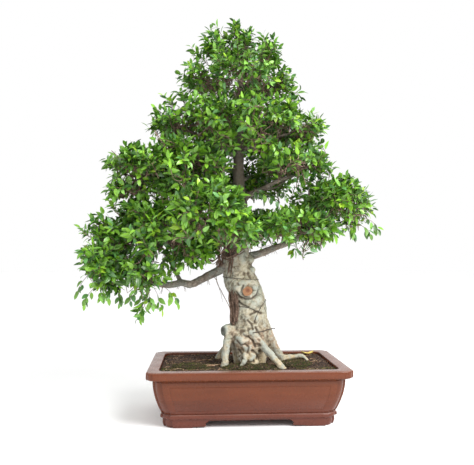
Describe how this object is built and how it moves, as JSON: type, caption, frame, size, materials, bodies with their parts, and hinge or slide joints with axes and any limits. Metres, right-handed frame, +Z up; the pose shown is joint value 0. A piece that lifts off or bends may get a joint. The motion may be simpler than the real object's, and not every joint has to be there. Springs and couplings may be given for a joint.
{
  "type": "bonsai tree in a pot",
  "caption": "Fig-tree bonsai with a gnarled pale trunk, surface roots and tiered pads of leaves, in a rectangular brown clay pot on bracket feet.",
  "frame": {"origin": "middle of the bottom of the whole object's box, on the surface that the pot's feet stand on", "axes": "+Z up along the tree; -Y towards the tree's front, where the cut-branch scar shows; +X to the right seen from the front"},
  "size_m": [0.9384, 0.6176, 1.2479],
  "materials": {
    "fired_clay": "unglazed, burnished to a soft sheen",
    "screen_plastic": "matt",
    "clip_wire": "drawn, dull",
    "drainage_grit": "rough, porous",
    "soil": "damp granules with fine pale roots",
    "moss": "velvety",
    "dry_leaf": "dry, curled",
    "bark": "pale, cracked, with grey-green patches",
    "branch_bark": "dark grey-brown, rough",
    "aerial_root_bark": "brown, stringy",
    "leaf_green": "smooth leaves with a waxy sheen",
    "twine": "weathered"
  },
  "bodies": {
    "root": {"pot": "fired_clay", "drain_screen_left": "screen_plastic", "drain_screen_right": "screen_plastic", "screen_clip_left": "clip_wire", "screen_clip_right": "clip_wire", "drainage_layer": "drainage_grit", "soil": "soil", "moss_left": "moss", "moss_front": "moss", "moss_right": "moss", "fallen_leaf": "dry_leaf", "trunk": "bark", "branch_low_left": "branch_bark", "branch_low_right": "branch_bark", "branch_front": "branch_bark", "branch_back_low": "branch_bark", "branch_mid_left": "branch_bark", "branch_mid_right": "branch_bark", "branch_back_mid": "branch_bark", "branch_high_left": "branch_bark", "branch_high_right": "branch_bark", "aerial_roots_bundle": "aerial_root_bark", "aerial_root_hanging": "aerial_root_bark", "aerial_roots_tangle": "aerial_root_bark", "tie_ring": "twine", "tie_loop": "twine", "tie_wire_end": "twine", "leaves_apex": "leaf_green", "leaves_high_left": "leaf_green", "leaves_high_right": "leaf_green", "leaves_high_back": "leaf_green", "leaves_mid_left_outer": "leaf_green", "leaves_mid_left_inner": "leaf_green", "leaves_mid_right": "leaf_green", "leaves_back_mid": "leaf_green", "leaves_low_left_outer": "leaf_green", "leaves_low_left_inner": "leaf_green", "leaves_front": "leaf_green", "leaves_low_right_inner": "leaf_green", "leaves_low_right_outer": "leaf_green", "leaves_back_low": "leaf_green"}
  },
  "joints": []
}
